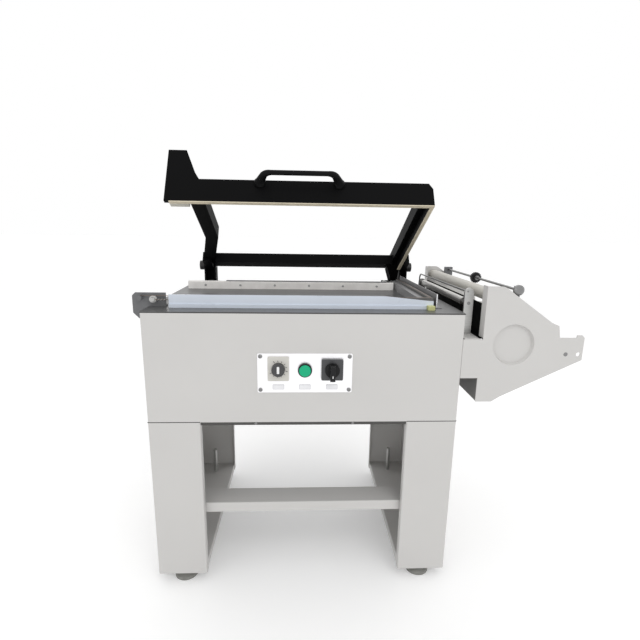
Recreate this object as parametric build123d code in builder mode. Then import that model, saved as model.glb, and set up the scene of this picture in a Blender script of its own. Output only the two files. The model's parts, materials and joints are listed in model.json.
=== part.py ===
import os
from math import cos, pi, radians, sin

from build123d import *

# Sheet and fits
sheet = 2.0
bend = 3.0
run_gap = 0.05
side_gap = 0.4
bolt_gap = 0.2

# Stand
foot_gap = 26.0
leg_height = 397.0
leg_width = 116.0
leg_flange = 16.0
tray_rise = 17.0
tray_end_gap = 1.0
pad_radius = 28.5
pad_height = 20.0
pad_rim = 8.0
pad_neck = 13.0
stud_radius = 6.0
stud_seat = 8.0
stud_rise = 79.0
weld_nut_radius = 11.0
weld_nut_height = 12.0
foot_front = 34.0
foot_rear = 50.0
shelf_front = 20.0
shelf_depth = 60.0
shelf_lip = 24.0
shelf_top = 204.5

# Cabinet
cabinet_width = 700.0
cabinet_depth = 470.0
cabinet_height = 253.0
pan_drop = 9.0
pan_lip = 30.0
pan_gap = 1.0
louvre_length = 90.0
louvre_height = 5.0
louvre_pitch = 18.0
louvre_rows = 5
louvre_spread = 260.0
louvre_low = 90.0
gland_reach = 24.0
gland_radius = 12.0
gland_bore = 5.0
gland_thread = 9.0
gland_nut_radius = 13.0
gland_nut_height = 6.0
gland_inset = 90.0
gland_rise = 45.0

# Control plate and its devices
plate_width = 209.0
plate_height = 90.0
plate_drop = 136.0
window_width = 190.0
window_height = 70.0
device_drop = 128.5
device_pitch = 60.0
timer_pitch = 58.5
timer_rise = 3.0
timer_width = 47.0
timer_height = 55.0
timer_proud = 4.0
timer_body_width = 40.0
timer_body_height = 46.0
timer_body_depth = 60.0
timer_shaft = 3.0
timer_shaft_length = 7.0
knob_radius = 15.0
knob_length = 10.0
knob_taper = 4.0
collar_radius = 15.5
collar_proud = 6.0
collar_tube = 14.5
collar_depth = 30.0
collar_end = 3.0
button_radius = 13.0
button_proud = 4.0
button_length = 24.0
button_edge = 1.5
switch_rise = 1.5
switch_size = 48.0
switch_proud = 6.0
switch_body_size = 40.0
switch_body_depth = 45.0
switch_neck = 12.0
switch_shaft = 4.0
switch_shaft_length = 14.0
switch_reach = 30.0
switch_disc_radius = 16.0
switch_disc_height = 6.0
switch_grip_width = 11.0
switch_grip_up = 14.0
switch_grip_down = 20.0

# Table, set in from the cabinet's sides, front and back
jaw_left_inset = 48.0
jaw_right_inset = 58.0
jaw_front = 50.0
jaw_depth = 24.0
jaw_height = 19.0
side_jaw_back = 55.0
strip_set = 1.5
strip_height = 6.0
wire_width = 3.0
wire_height = 0.7
seal_gap = 0.3
pad_width = 9.0
apron_height = 29.0
apron_end_height = 18.0
apron_slope = 112.0
hem_height = 8.0
hem_proud = 3.0
hem_end = 16.0
insulator_width = 16.0
insulator_depth = 15.0
insulator_height = 9.0
wall_gap = 9.0
wall_front = 57.0
wall_back = 40.0
wall_height = 33.0
wall_foot = 14.0
rail_left_inset = 17.0
rail_right_gap = 30.0
rail_back = 130.0
rail_depth = 16.0
rail_height = 22.0
rail_back_lip = 18.0
magnet_width = 42.0
magnet_gap = 0.5
magnet_depth = 12.0
magnet_slot = 4.0
magnet_slot_depth = 6.0

# Wire tensioner at the left end of the front jaw
bracket_overhang = 36.0
bracket_gauge = 3.0
bracket_gap = 10.0
bracket_top = 31.0
bracket_low = 28.0
bracket_chamfer = 13.0
bracket_corner = 7.0
bracket_foot = 14.0
pulley_out = 36.0
pulley_radius = 7.5
pulley_width = 9.0
pulley_pin = 3.0
pulley_head = 5.0
pulley_head_height = 2.5
terminal_out = 64.0
terminal_radius = 5.0
terminal_length = 15.0

# Hinge
hinge_back = 15.0
hinge_rise = 57.0
cheek = 5.0
cheek_radius = 15.0
left_eye_width = 24.0
right_eye_width = 14.0
eye_radius = 14.5
pin_radius = 8.0
pin_head = 14.0
pin_head_height = 14.0
right_post_gap = 8.0
left_hinge_in = 12.0
post_base = 5.0
post_web = 4.0
post_web_gap = 2.5

# Sealing arm, measured from the hinge axis in its closed position
open_angle = 29.6
bar_left_in = 16.0
bar_depth = 24.0
bar_top = 28.0
bar_bottom = -6.0
bar_wall = 3.0
bar_end = 4.0
seal_pad_height = 2.0
bar_chamfer_x = 9.0
bar_chamfer_n = 14.0
left_bar_in = 52.0
left_bar_width = 34.0
dog_start = 190.0
dog_end = 25.0
crossbar_size = 30.0
crossbar_front = 56.0
lug_front = 62.0
lug_back = 22.0
pad_end = 50.0
tower_left_in = -11.0
tower_top_left_in = -12.0
tower_top_right_in = 29.0
tower_shoulder_in = 52.0
tower_base_in = 62.0
tower_shoulder = 45.0
tower_top = 104.0
tower_depth = 46.0
armature_height = 8.0
handle_center = -14.0
handle_base = 92.0
handle_span = 74.0
handle_out = 44.0
handle_up = 20.0
handle_radius = 7.5
handle_bend = 18.0
handle_foot_radius = 11.0
handle_foot_height = 3.0

# Return spring between the rail and the crossbar's lever
spring_in = 40.0
spring_rise = 13.0
lever_back = -8.0
lever_top_in = 40.0
lever_low_in = 12.0
lever_radius = 8.0
lever_base = 22.0
peg_radius = 3.5
peg_half = 6.2
coil_radius = 4.5
coil_wire = 1.1
coil_turns = 5
plug_radius = 6.0
plug_height = 3.0
plug_eye = 5.0
plug_eye_width = 4.0
clip_width = 20.0
clip_peg_back = 7.0
ear_gauge = 2.0

# Unwinder, measured from the cabinet's right side and from the table
unwinder_reach = 276.0
unwinder_set = 1.0
unwinder_back = 7.0
tab_top = -59.0
tab_low = -149.0
tab_flange = 26.0
neck_x = 44.0
neck_flange = 22.0
crown_z = 60.0
crown_right = 82.0
crown_round = 21.0
slope_end_x = 197.0
slope_end_z = -20.0
step_x = 214.0
step_z = -27.0
ledge_x = 219.0
ledge_z = -54.0
hook_x = 258.0
hook_rise = 6.0
nose_low = -106.0
belly_x = 96.0
belly_z = -193.0
heel_x = 77.0
heel_z = -205.5
recess_x = 115.0
recess_z = -71.0
recess_radius = 47.0
recess_floor = 44.0
recess_depth = 8.0
axle_hole_x = 237.0
axle_hole_pitch = 29.0
axle_hole_z = -92.5
axle_hole_radius = 4.85
tray_wall_x = 40.0
tray_gap = 1.0
panel_top = 18.0
bolt_radius = 4.0
bolt_head = 6.5
bolt_head_height = 5.0
bolt_inset_y = 15.0
bolt_inset_z = 20.0
bolt_tail = 8.0
upper_x = 70.0
upper_z = 34.5
upper_radius = 15.0
transfer_x = 22.0
transfer_z = 15.0
transfer_radius = 9.0
support_radius = 18.0
rear_support_x = 85.0
rear_support_z = -165.0
axle_radius = 4.8
transfer_axle = 4.0
roller_gap = 2.0
post_front = 45.0
post_gauge = 6.0
post_width = 21.0
post_top = 50.0
post_foot = 28.0
guide_front_x = 18.5
guide_rear_x = 9.0
guide_z = 42.0
guide_rear = 58.0
guide_radius = 2.0
guide_bend = 14.0
rod_x = 115.0
rod_z = 51.5
rod_radius = 3.0
rod_knob_radius = 11.5
rod_knob_length = 10.0
rod_knob_edge = 4.0
lug_width = 11.0
rear_lug_width = 25.0
lug_low = 10.0
lug_step = 32.0
lug_top = 59.5
lug_out = 7.5
lug_gauge = 8.0
wheel_y = 243.0
wheel_radius = 14.5
wheel_root = 12.0
wheel_width = 12.0
wheel_teeth = 20
rod_collar_radius = 6.0
rod_collar_width = 5.0

# Gear inside the cabinet
core_width = 110.0
core_depth = 60.0
core_height = 100.0
coil_box_width = 70.0
coil_box_depth = 96.0
coil_box_height = 64.0
transformer_x = -90.0
transformer_y = 240.0
contactor_width = 45.0
contactor_depth = 80.0
contactor_height = 75.0
contactor_step = 18.0
contactor_x = 90.0

# Shared positions, with the origin under the middle of the machine
length = bracket_overhang + cabinet_width + unwinder_reach
left_x = -length / 2 + bracket_overhang
right_x = left_x + cabinet_width
mid_x = (left_x + right_x) / 2
front_y = switch_reach - (switch_reach + cabinet_depth + gland_reach) / 2
back_y = front_y + cabinet_depth
cabinet_z = foot_gap + leg_height
table_z = cabinet_z + cabinet_height
hinge_y = back_y - hinge_back
hinge_z = table_z + hinge_rise
jaw_top = jaw_height + strip_height + wire_height
pad_bottom = jaw_top + seal_gap - hinge_rise
bar_foot = pad_bottom + seal_pad_height
apron_y = front_y + jaw_front
strip_y = apron_y + strip_set
rail_y = back_y - rail_back
arm_reach = hinge_y - strip_y

# Places across the table, from its middle
jaw_left = jaw_left_inset - cabinet_width / 2
jaw_right = cabinet_width / 2 - jaw_right_inset
wall_x = jaw_right + wall_gap
rail_left = rail_left_inset - cabinet_width / 2
rail_right = jaw_right - rail_right_gap
bracket_right = jaw_left - bracket_gap
pulley_x = jaw_left - pulley_out
terminal_x = jaw_left - terminal_out
magnet_right = jaw_left + magnet_width
bar_left = jaw_left + bar_left_in
bar_right = jaw_right
left_bar_x = jaw_left + left_bar_in
spring_x = jaw_right - spring_in
left_hinge_x = jaw_left + left_hinge_in
left_post_half = left_eye_width / 2 + side_gap + cheek
right_post_half = right_eye_width / 2 + side_gap + cheek
right_hinge_x = bar_right + right_post_gap + right_post_half

# Faces that carry other pieces
plate_face = front_y - sheet
unwinder_front = front_y + unwinder_set
unwinder_rear = back_y + unwinder_back
inner_front = unwinder_front + sheet
inner_rear = unwinder_rear - sheet

# Arm frame: x to the right, y to the back, z up when the arm is closed
arm = Plane(
    origin=(mid_x, hinge_y, hinge_z),
    x_dir=(1, 0, 0),
    z_dir=(0, sin(radians(open_angle)), cos(radians(open_angle))),
)
# Spring peg on the lever, from its place when the arm is open
peg_y = lever_back * cos(radians(open_angle)) + (hinge_rise - spring_rise) * sin(radians(open_angle))
peg_n = lever_back * sin(radians(open_angle)) - (hinge_rise - spring_rise) * cos(radians(open_angle))


def level(z):
    """Horizontal plane at a height."""
    return Plane.XY.offset(z)


def facing(y):
    """Upright plane that faces the front, with x to the right and y up."""
    return Plane.XZ.offset(-y)


def across(x):
    """Upright plane that faces the right, with x to the back and y up."""
    return Plane.YZ.offset(x)


def arm_across(x):
    """Plane of the arm that faces the right, with x to the back and y up."""
    return Plane(origin=arm.from_local_coords((x, 0, 0)), x_dir=arm.y_dir, z_dir=(1, 0, 0))


def arm_facing(b):
    """Plane of the arm that faces its front, with x to the right and y up."""
    return Plane(origin=arm.from_local_coords((0, b, 0)), x_dir=(1, 0, 0), z_dir=-arm.y_dir)


def span(low_x, high_x, low_y, high_y):
    """Rectangle between two pairs of limits."""
    with BuildSketch(Plane.XY) as patch:
        with Locations(((low_x + high_x) / 2, (low_y + high_y) / 2)):
            Rectangle(high_x - low_x, high_y - low_y)
    return patch.sketch


def outline(*points):
    """Closed face through the points."""
    with BuildSketch(Plane.XY) as face:
        with BuildLine():
            Polyline(*points, close=True)
        make_face()
    return face.sketch


def bent(*points, side=Side.LEFT, gauge=sheet):
    """Section of a sheet that is bent along the points."""
    with BuildSketch(Plane.XY) as section:
        with BuildLine():
            FilletPolyline(*points, radius=bend)
            offset(amount=gauge, side=side)
        make_face()
    return section.sketch


# Left leg, an upright channel that is open to the inside
leg_inner = left_x + leg_width
with BuildPart() as left_leg:
    with BuildSketch(level(foot_gap)):
        add(
            bent(
                (leg_inner, front_y + leg_flange),
                (leg_inner, front_y),
                (left_x, front_y),
                (left_x, back_y),
                (leg_inner, back_y),
                (leg_inner, back_y - leg_flange),
                side=Side.RIGHT,
            )
        )
    extrude(amount=leg_height)

# Right leg
with BuildPart() as right_leg:
    mirror(left_leg.part, about=Plane.YZ.offset(mid_x))

# Base trays in the legs, with weld nuts for the feet
foot_places = [
    (x, y)
    for x in (left_x + leg_width / 2, right_x - leg_width / 2)
    for y in (front_y + foot_front, back_y - foot_rear)
]
tray_z = foot_gap + tray_rise
tray_lip = leg_inner - sheet
with BuildPart() as left_base_tray:
    with BuildSketch(facing(back_y - sheet - tray_end_gap)):
        add(bent((left_x + sheet, tray_z), (tray_lip, tray_z), (tray_lip, foot_gap), side=Side.RIGHT))
    extrude(amount=cabinet_depth - 2 * sheet - 2 * tray_end_gap)
    with BuildSketch(level(tray_z - sheet)):
        with Locations(*foot_places[:2]):
            Circle(weld_nut_radius)
    extrude(amount=-weld_nut_height)
    with BuildSketch(level(tray_z)):
        with Locations(*foot_places[:2]):
            Circle(stud_radius + run_gap)
    extrude(amount=-weld_nut_height - sheet, mode=Mode.SUBTRACT)
with BuildPart() as base_trays:
    add(left_base_tray.part)
    mirror(left_base_tray.part, about=Plane.YZ.offset(mid_x))

# Foot pads
with BuildPart() as foot_pads:
    with BuildSketch(level(0)):
        with Locations(*foot_places):
            Circle(pad_radius)
    extrude(amount=pad_rim)
    for x, y in foot_places:
        with BuildSketch(level(pad_rim)):
            with Locations((x, y)):
                Circle(pad_radius)
        with BuildSketch(level(pad_height)):
            with Locations((x, y)):
                Circle(pad_neck)
        loft()
    with BuildSketch(level(pad_height)):
        with Locations(*foot_places):
            Circle(stud_radius + run_gap)
    extrude(amount=-stud_seat, mode=Mode.SUBTRACT)

# Foot studs
with BuildPart() as foot_studs:
    with BuildSketch(level(pad_height - stud_seat)):
        with Locations(*foot_places):
            Circle(stud_radius)
    extrude(amount=tray_z + stud_rise - pad_height + stud_seat)

# Stretcher shelf between the legs
shelf_y = front_y + shelf_front
with BuildPart() as stretcher_shelf:
    with BuildSketch(across(left_x + sheet)):
        add(
            bent(
                (shelf_y, shelf_top - shelf_lip),
                (shelf_y, shelf_top),
                (shelf_y + shelf_depth, shelf_top),
                (shelf_y + shelf_depth, shelf_top - shelf_lip),
                side=Side.RIGHT,
            )
        )
    extrude(amount=cabinet_width - 2 * sheet)

# Cabinet shell: front and both sides, with the control window and the holes for the unwinder
plate_z = table_z - plate_drop
device_z = table_z - device_drop
bolt_places = [
    (y, table_z + z)
    for y in (inner_front + bolt_inset_y, inner_rear - bolt_inset_y)
    for z in (tab_top - bolt_inset_z, tab_low + bolt_inset_z)
]
with BuildPart() as cabinet_shell:
    with BuildSketch(level(cabinet_z)):
        add(bent((left_x, back_y), (left_x, front_y), (right_x, front_y), (right_x, back_y)))
    extrude(amount=cabinet_height - sheet)
    with BuildSketch(facing(front_y + sheet)):
        with Locations((mid_x, plate_z)):
            Rectangle(window_width, window_height)
    extrude(amount=sheet, mode=Mode.SUBTRACT)
    with BuildSketch(across(right_x - sheet)):
        with Locations(*bolt_places):
            Circle(bolt_radius + bolt_gap)
    extrude(amount=sheet, mode=Mode.SUBTRACT)

# Rear panel with louvres
gland_place = (left_x + gland_inset, cabinet_z + gland_rise)
with BuildPart() as rear_panel:
    with BuildSketch(facing(back_y)):
        add(span(left_x + sheet, right_x - sheet, cabinet_z, table_z - sheet))
    extrude(amount=sheet)
    with BuildSketch(facing(back_y)):
        for row in range(louvre_rows):
            with Locations(
                (mid_x - louvre_spread / 2, cabinet_z + louvre_low + row * louvre_pitch),
                (mid_x + louvre_spread / 2, cabinet_z + louvre_low + row * louvre_pitch),
            ):
                SlotOverall(louvre_length, louvre_height)
        with Locations(gland_place):
            Circle(gland_thread + run_gap)
    extrude(amount=sheet, mode=Mode.SUBTRACT)

# Bottom pan
pan_z = cabinet_z - pan_drop
with BuildPart() as bottom_pan:
    with BuildSketch(across(leg_inner + pan_gap)):
        add(
            bent(
                (front_y + sheet, pan_z + pan_lip),
                (front_y + sheet, pan_z),
                (back_y - sheet, pan_z),
                (back_y - sheet, pan_z + pan_lip),
            )
        )
    extrude(amount=cabinet_width - 2 * leg_width - 2 * pan_gap)

# Top deck
with BuildPart() as top_deck:
    with BuildSketch(level(table_z - sheet)) as deck_outline:
        add(span(left_x, right_x, front_y, back_y))
        fillet(deck_outline.vertices(), radius=bend)
    extrude(amount=sheet)

# Transformer on the pan
gear_z = pan_z + sheet
with BuildPart() as transformer:
    with BuildSketch(level(gear_z)):
        with Locations((mid_x + transformer_x, front_y + transformer_y)):
            Rectangle(core_width, core_depth)
    extrude(amount=core_height)
    with BuildSketch(level(gear_z + (core_height - coil_box_height) / 2)):
        with Locations((mid_x + transformer_x, front_y + transformer_y)):
            Rectangle(coil_box_width, coil_box_depth)
    extrude(amount=coil_box_height)

# Contactor on the pan
with BuildPart() as contactor:
    with BuildSketch(level(gear_z)):
        with Locations((mid_x + contactor_x, front_y + transformer_y)):
            Rectangle(contactor_width, contactor_depth)
    extrude(amount=contactor_height - contactor_step)
    with BuildSketch(level(gear_z + contactor_height - contactor_step)):
        with Locations((mid_x + contactor_x, front_y + transformer_y)):
            Rectangle(contactor_width, contactor_depth - 2 * contactor_step)
    extrude(amount=contactor_step)

# Cable gland in the rear panel, with its lock nut inside
with BuildPart() as cable_gland:
    with BuildSketch(facing(back_y + gland_reach)):
        with Locations(gland_place):
            Circle(gland_radius)
    extrude(amount=gland_reach)
    chamfer(cable_gland.faces().sort_by(Axis.Y)[-1].edges(), length=bend)
    with BuildSketch(facing(back_y)):
        with Locations(gland_place):
            Circle(gland_thread)
    extrude(amount=sheet + gland_nut_height)
    with BuildSketch(facing(back_y + gland_reach)):
        with Locations(gland_place):
            Circle(gland_bore)
    extrude(amount=gland_reach + sheet + gland_nut_height, mode=Mode.SUBTRACT)
    with BuildSketch(facing(back_y - sheet)):
        with Locations(gland_place):
            RegularPolygon(gland_nut_radius, 6)
            Circle(gland_thread + run_gap, mode=Mode.SUBTRACT)
    extrude(amount=gland_nut_height)

# Control plate, with openings for the three devices
timer_place = (mid_x - timer_pitch, device_z + timer_rise)
button_place = (mid_x, device_z)
switch_place = (mid_x + device_pitch, device_z + switch_rise)
with BuildPart() as control_plate:
    with BuildSketch(facing(front_y)):
        with Locations((mid_x, plate_z)):
            RectangleRounded(plate_width, plate_height, bend)
        with Locations(timer_place):
            Rectangle(timer_body_width + 2 * bolt_gap, timer_body_height + 2 * bolt_gap, mode=Mode.SUBTRACT)
        with Locations(button_place):
            Circle(collar_tube + bolt_gap, mode=Mode.SUBTRACT)
        with Locations(switch_place):
            Circle(switch_neck + bolt_gap, mode=Mode.SUBTRACT)
    extrude(amount=sheet)

# Timer housing
with BuildPart() as timer_housing:
    with BuildSketch(facing(plate_face)):
        with Locations(timer_place):
            RectangleRounded(timer_width, timer_height, bend)
    extrude(amount=timer_proud)
    with BuildSketch(facing(plate_face)):
        with Locations(timer_place):
            Rectangle(timer_body_width, timer_body_height)
    extrude(amount=-timer_body_depth)
    with BuildSketch(facing(plate_face - timer_proud)):
        with Locations(timer_place):
            Circle(timer_shaft)
    extrude(amount=timer_shaft_length)

# Timer knob
with BuildPart() as timer_knob:
    with BuildSketch(facing(plate_face - timer_proud - side_gap)):
        with Locations(timer_place):
            Circle(knob_radius)
    extrude(amount=knob_length, taper=knob_taper)
    with BuildSketch(facing(plate_face - timer_proud - side_gap)):
        with Locations(timer_place):
            Circle(timer_shaft + run_gap)
    extrude(amount=timer_shaft_length, mode=Mode.SUBTRACT)

# Button collar
with BuildPart() as button_collar:
    with BuildSketch(facing(plate_face)):
        with Locations(button_place):
            Circle(collar_radius)
    extrude(amount=collar_proud)
    with BuildSketch(facing(plate_face)):
        with Locations(button_place):
            Circle(collar_tube)
    extrude(amount=-collar_depth)
    with BuildSketch(facing(plate_face - collar_proud)):
        with Locations(button_place):
            Circle(button_radius + run_gap)
    extrude(amount=-collar_proud - collar_depth + collar_end, mode=Mode.SUBTRACT)

# Start button
with BuildPart() as start_button:
    with BuildSketch(facing(plate_face - collar_proud - button_proud)):
        with Locations(button_place):
            Circle(button_radius)
    extrude(amount=-button_length)
    chamfer(start_button.faces().sort_by(Axis.Y)[0].edges(), length=button_edge)

# Switch body
with BuildPart() as switch_body:
    with BuildSketch(facing(plate_face)):
        with Locations(switch_place):
            RectangleRounded(switch_size, switch_size, bend)
    extrude(amount=switch_proud)
    with BuildSketch(facing(plate_face)):
        with Locations(switch_place):
            Circle(switch_neck)
    extrude(amount=-sheet)
    with BuildSketch(facing(front_y)):
        with Locations(switch_place):
            Rectangle(switch_body_size, switch_body_size)
    extrude(amount=-switch_body_depth)
    with BuildSketch(facing(plate_face - switch_proud)):
        with Locations(switch_place):
            Circle(switch_shaft)
    extrude(amount=switch_shaft_length)

# Switch handle, a disc with a grip that points down
switch_face = plate_face - switch_proud - side_gap
with BuildPart() as switch_handle:
    with BuildSketch(facing(switch_face)):
        with Locations(switch_place):
            Circle(switch_disc_radius)
    extrude(amount=switch_disc_height)
    with BuildSketch(facing(switch_face)):
        add(
            span(
                switch_place[0] - switch_grip_width / 2,
                switch_place[0] + switch_grip_width / 2,
                switch_place[1] - switch_grip_down,
                switch_place[1] + switch_grip_up,
            )
        )
    extrude(amount=switch_face - front_y + switch_reach)
    fillet(switch_handle.faces().sort_by(Axis.Y)[0].edges(), radius=sheet)
    with BuildSketch(facing(switch_face)):
        with Locations(switch_place):
            Circle(switch_shaft + run_gap)
    extrude(amount=switch_shaft_length, mode=Mode.SUBTRACT)

# Front apron, lower towards its right end, with a proud hem along its foot
with BuildPart() as front_apron:
    with BuildSketch(facing(apron_y)):
        add(
            outline(
                (mid_x + jaw_left, table_z),
                (mid_x + jaw_right, table_z),
                (mid_x + jaw_right, table_z + apron_end_height),
                (mid_x + jaw_right - apron_slope, table_z + apron_height),
                (mid_x + jaw_left, table_z + apron_height),
            )
        )
    extrude(amount=sheet)
    with BuildSketch(facing(apron_y - sheet)):
        add(span(mid_x + jaw_left, mid_x + jaw_right - hem_end, table_z, table_z + hem_height))
    extrude(amount=hem_proud)

# Front jaw, stepped back at its left end for the holding magnet
magnet_y = strip_y + pad_width + magnet_gap
with BuildPart() as front_jaw:
    with BuildSketch(level(table_z)):
        add(span(mid_x + jaw_left, mid_x + jaw_right, apron_y, magnet_y - magnet_gap))
        add(span(mid_x + magnet_right + magnet_gap, mid_x + jaw_right, apron_y, apron_y + jaw_depth))
    extrude(amount=jaw_height)

# Side jaw
with BuildPart() as side_jaw:
    with BuildSketch(level(table_z)):
        add(
            span(
                mid_x + jaw_right - jaw_depth,
                mid_x + jaw_right,
                apron_y + jaw_depth,
                back_y - side_jaw_back,
            )
        )
    extrude(amount=jaw_height)

# Heat strips under the wire, an L along both jaws
pad_back = hinge_y - pad_end
with BuildPart() as jaw_strips:
    with BuildSketch(level(table_z + jaw_height)):
        add(span(mid_x + jaw_left, mid_x + jaw_right, strip_y, strip_y + pad_width))
        add(span(mid_x + jaw_right - pad_width, mid_x + jaw_right, strip_y, pad_back))
    extrude(amount=strip_height)

# Seal wire along both strips, led over the tension pulley to its terminal
wire_y = strip_y + pad_width / 2
wire_x = mid_x + jaw_right - pad_width / 2
wire_low = table_z + jaw_height + strip_height
half_wire = wire_width / 2
with BuildPart() as seal_wire:
    with BuildSketch(level(wire_low)):
        add(span(mid_x + terminal_x, wire_x + half_wire, wire_y - half_wire, wire_y + half_wire))
        add(span(wire_x - half_wire, wire_x + half_wire, wire_y - half_wire, pad_back))
    extrude(amount=wire_height)

# Insulator at the right front corner of the jaw
with BuildPart() as wire_insulator:
    with BuildSketch(level(table_z)):
        add(
            span(
                mid_x + jaw_right - insulator_width + side_gap,
                mid_x + jaw_right,
                apron_y - sheet - insulator_depth,
                apron_y - sheet,
            )
        )
    extrude(amount=insulator_height)

# Tension bracket at the left end of the front jaw
bracket_y = wire_y + pulley_width / 2 + side_gap
bracket_left = left_x - bracket_overhang
with BuildPart() as tension_bracket:
    with BuildSketch(facing(bracket_y + bracket_gauge)):
        add(
            outline(
                (bracket_left, table_z - bracket_low + bracket_chamfer),
                (bracket_left + bracket_chamfer, table_z - bracket_low),
                (left_x - sheet, table_z - bracket_low),
                (left_x - sheet, table_z),
                (mid_x + bracket_right, table_z),
                (mid_x + bracket_right, table_z + bracket_top),
                (bracket_left + bracket_corner, table_z + bracket_top),
                (bracket_left, table_z + bracket_top - bracket_corner),
            )
        )
        with Locations((mid_x + pulley_x, wire_low - seal_gap - pulley_radius)):
            Circle(pulley_pin + run_gap, mode=Mode.SUBTRACT)
        with Locations((mid_x + terminal_x, wire_low - terminal_radius)):
            Circle(pulley_pin + run_gap, mode=Mode.SUBTRACT)
    extrude(amount=bracket_gauge)
    with BuildSketch(level(table_z)):
        add(span(left_x, mid_x + bracket_right, bracket_y + bracket_gauge, bracket_y + bracket_foot))
    extrude(amount=bracket_gauge)

# Pulley pin with its head
pulley_place = (mid_x + pulley_x, wire_low - seal_gap - pulley_radius)
pulley_face = wire_y - pulley_width / 2 - side_gap
with BuildPart() as pulley_pins:
    with BuildSketch(facing(bracket_y + bracket_gauge)):
        with Locations(pulley_place):
            Circle(pulley_pin)
    extrude(amount=bracket_y + bracket_gauge - pulley_face)
    with BuildSketch(facing(pulley_face)):
        with Locations(pulley_place):
            Circle(pulley_head)
    extrude(amount=pulley_head_height)

# Tension pulley
with BuildPart() as tension_pulley:
    with BuildSketch(facing(wire_y + pulley_width / 2)):
        with Locations(pulley_place):
            Circle(pulley_radius)
            Circle(pulley_pin + run_gap, mode=Mode.SUBTRACT)
    extrude(amount=pulley_width)

# Wire terminal, a stepped post in the bracket that carries the end of the wire
terminal_place = (mid_x + terminal_x, wire_low - terminal_radius)
with BuildPart() as wire_terminal:
    with BuildSketch(facing(bracket_y)):
        with Locations(terminal_place):
            Circle(terminal_radius)
    extrude(amount=terminal_length)
    with BuildSketch(facing(bracket_y)):
        with Locations(terminal_place):
            Circle(pulley_pin)
    extrude(amount=-bracket_gauge)

# Holding magnet in the left end of the front jaw, a core with two slots
with BuildPart() as electromagnet:
    with BuildSketch(level(table_z)):
        add(span(mid_x + jaw_left, mid_x + magnet_right, magnet_y, magnet_y + magnet_depth))
    extrude(amount=jaw_top)
    with BuildSketch(level(table_z + jaw_top)):
        with Locations((mid_x + (jaw_left + magnet_right) / 2, magnet_y + magnet_depth / 2)):
            with GridLocations(magnet_width / 2, 0, 2, 1):
                Rectangle(magnet_slot, magnet_depth)
    extrude(amount=-magnet_slot_depth, mode=Mode.SUBTRACT)

# Side wall along the right of the table
with BuildPart() as side_wall:
    with BuildSketch(facing(back_y - wall_back)):
        add(
            bent(
                (mid_x + wall_x, table_z + wall_height),
                (mid_x + wall_x, table_z),
                (mid_x + wall_x + wall_foot, table_z),
            )
        )
    extrude(amount=cabinet_depth - wall_back - wall_front)

# Rear rail
with BuildPart() as rear_rail:
    with BuildSketch(across(mid_x + rail_left)):
        add(
            bent(
                (rail_y, table_z),
                (rail_y, table_z + rail_height),
                (rail_y + rail_depth, table_z + rail_height),
                (rail_y + rail_depth, table_z + rail_height - rail_back_lip),
                side=Side.RIGHT,
            )
        )
    extrude(amount=rail_right - rail_left)

# Spring clip on the rail: a strap, a back leg and two ears that hold a peg
clip_back = rail_y + rail_depth
clip_z = table_z + spring_rise
peg_front_y = clip_back + sheet + clip_peg_back
with BuildPart() as spring_clip:
    with BuildSketch(across(mid_x + spring_x - clip_width / 2)):
        add(
            outline(
                (rail_y + sheet, table_z + rail_height),
                (clip_back, table_z + rail_height),
                (clip_back, table_z + sheet),
                (clip_back + sheet, table_z + sheet),
                (clip_back + sheet, table_z + rail_height + sheet),
                (rail_y + sheet, table_z + rail_height + sheet),
            )
        )
    extrude(amount=clip_width)
    for ear_x in (spring_x - peg_half - ear_gauge, spring_x + peg_half):
        with BuildSketch(across(mid_x + ear_x)):
            add(span(clip_back + sheet, peg_front_y + plug_eye, clip_z - plug_eye, clip_z + plug_eye))
        extrude(amount=ear_gauge)
    with BuildSketch(across(mid_x + spring_x - peg_half)):
        with Locations((peg_front_y, clip_z)):
            Circle(peg_radius)
    extrude(amount=2 * peg_half)

# Return spring, a coil with an eye plug at both ends
peg_rear_y = hinge_y + lever_back
coil_front = peg_front_y + plug_eye + sheet + plug_height
coil_rear = peg_rear_y - plug_eye - sheet - plug_height
coil_length = coil_rear - coil_front + plug_height
with BuildPart() as return_spring:
    with BuildLine():
        coil = Helix(
            pitch=coil_length / coil_turns,
            height=coil_length,
            radius=coil_radius,
            center=(mid_x + spring_x, coil_front - plug_height / 2, clip_z),
            direction=(0, 1, 0),
        )
    with BuildSketch(Plane(origin=coil @ 0, z_dir=coil % 0)):
        Rectangle(2 * coil_wire, 2 * coil_wire)
    sweep(path=coil, is_frenet=True)
    for plug_y in (coil_front, coil_rear + plug_height):
        with BuildSketch(facing(plug_y)):
            with Locations((mid_x + spring_x, clip_z)):
                Circle(plug_radius)
        extrude(amount=plug_height)
    for low_y, high_y, eye_y in (
        (peg_front_y - plug_eye, coil_front - plug_height, peg_front_y),
        (coil_rear + plug_height, peg_rear_y + plug_eye, peg_rear_y),
    ):
        with BuildSketch(across(mid_x + spring_x - plug_eye_width / 2)):
            add(span(low_y, high_y, clip_z - plug_eye, clip_z + plug_eye))
            with Locations((eye_y, clip_z)):
                Circle(peg_radius + run_gap, mode=Mode.SUBTRACT)
        extrude(amount=plug_eye_width)

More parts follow.
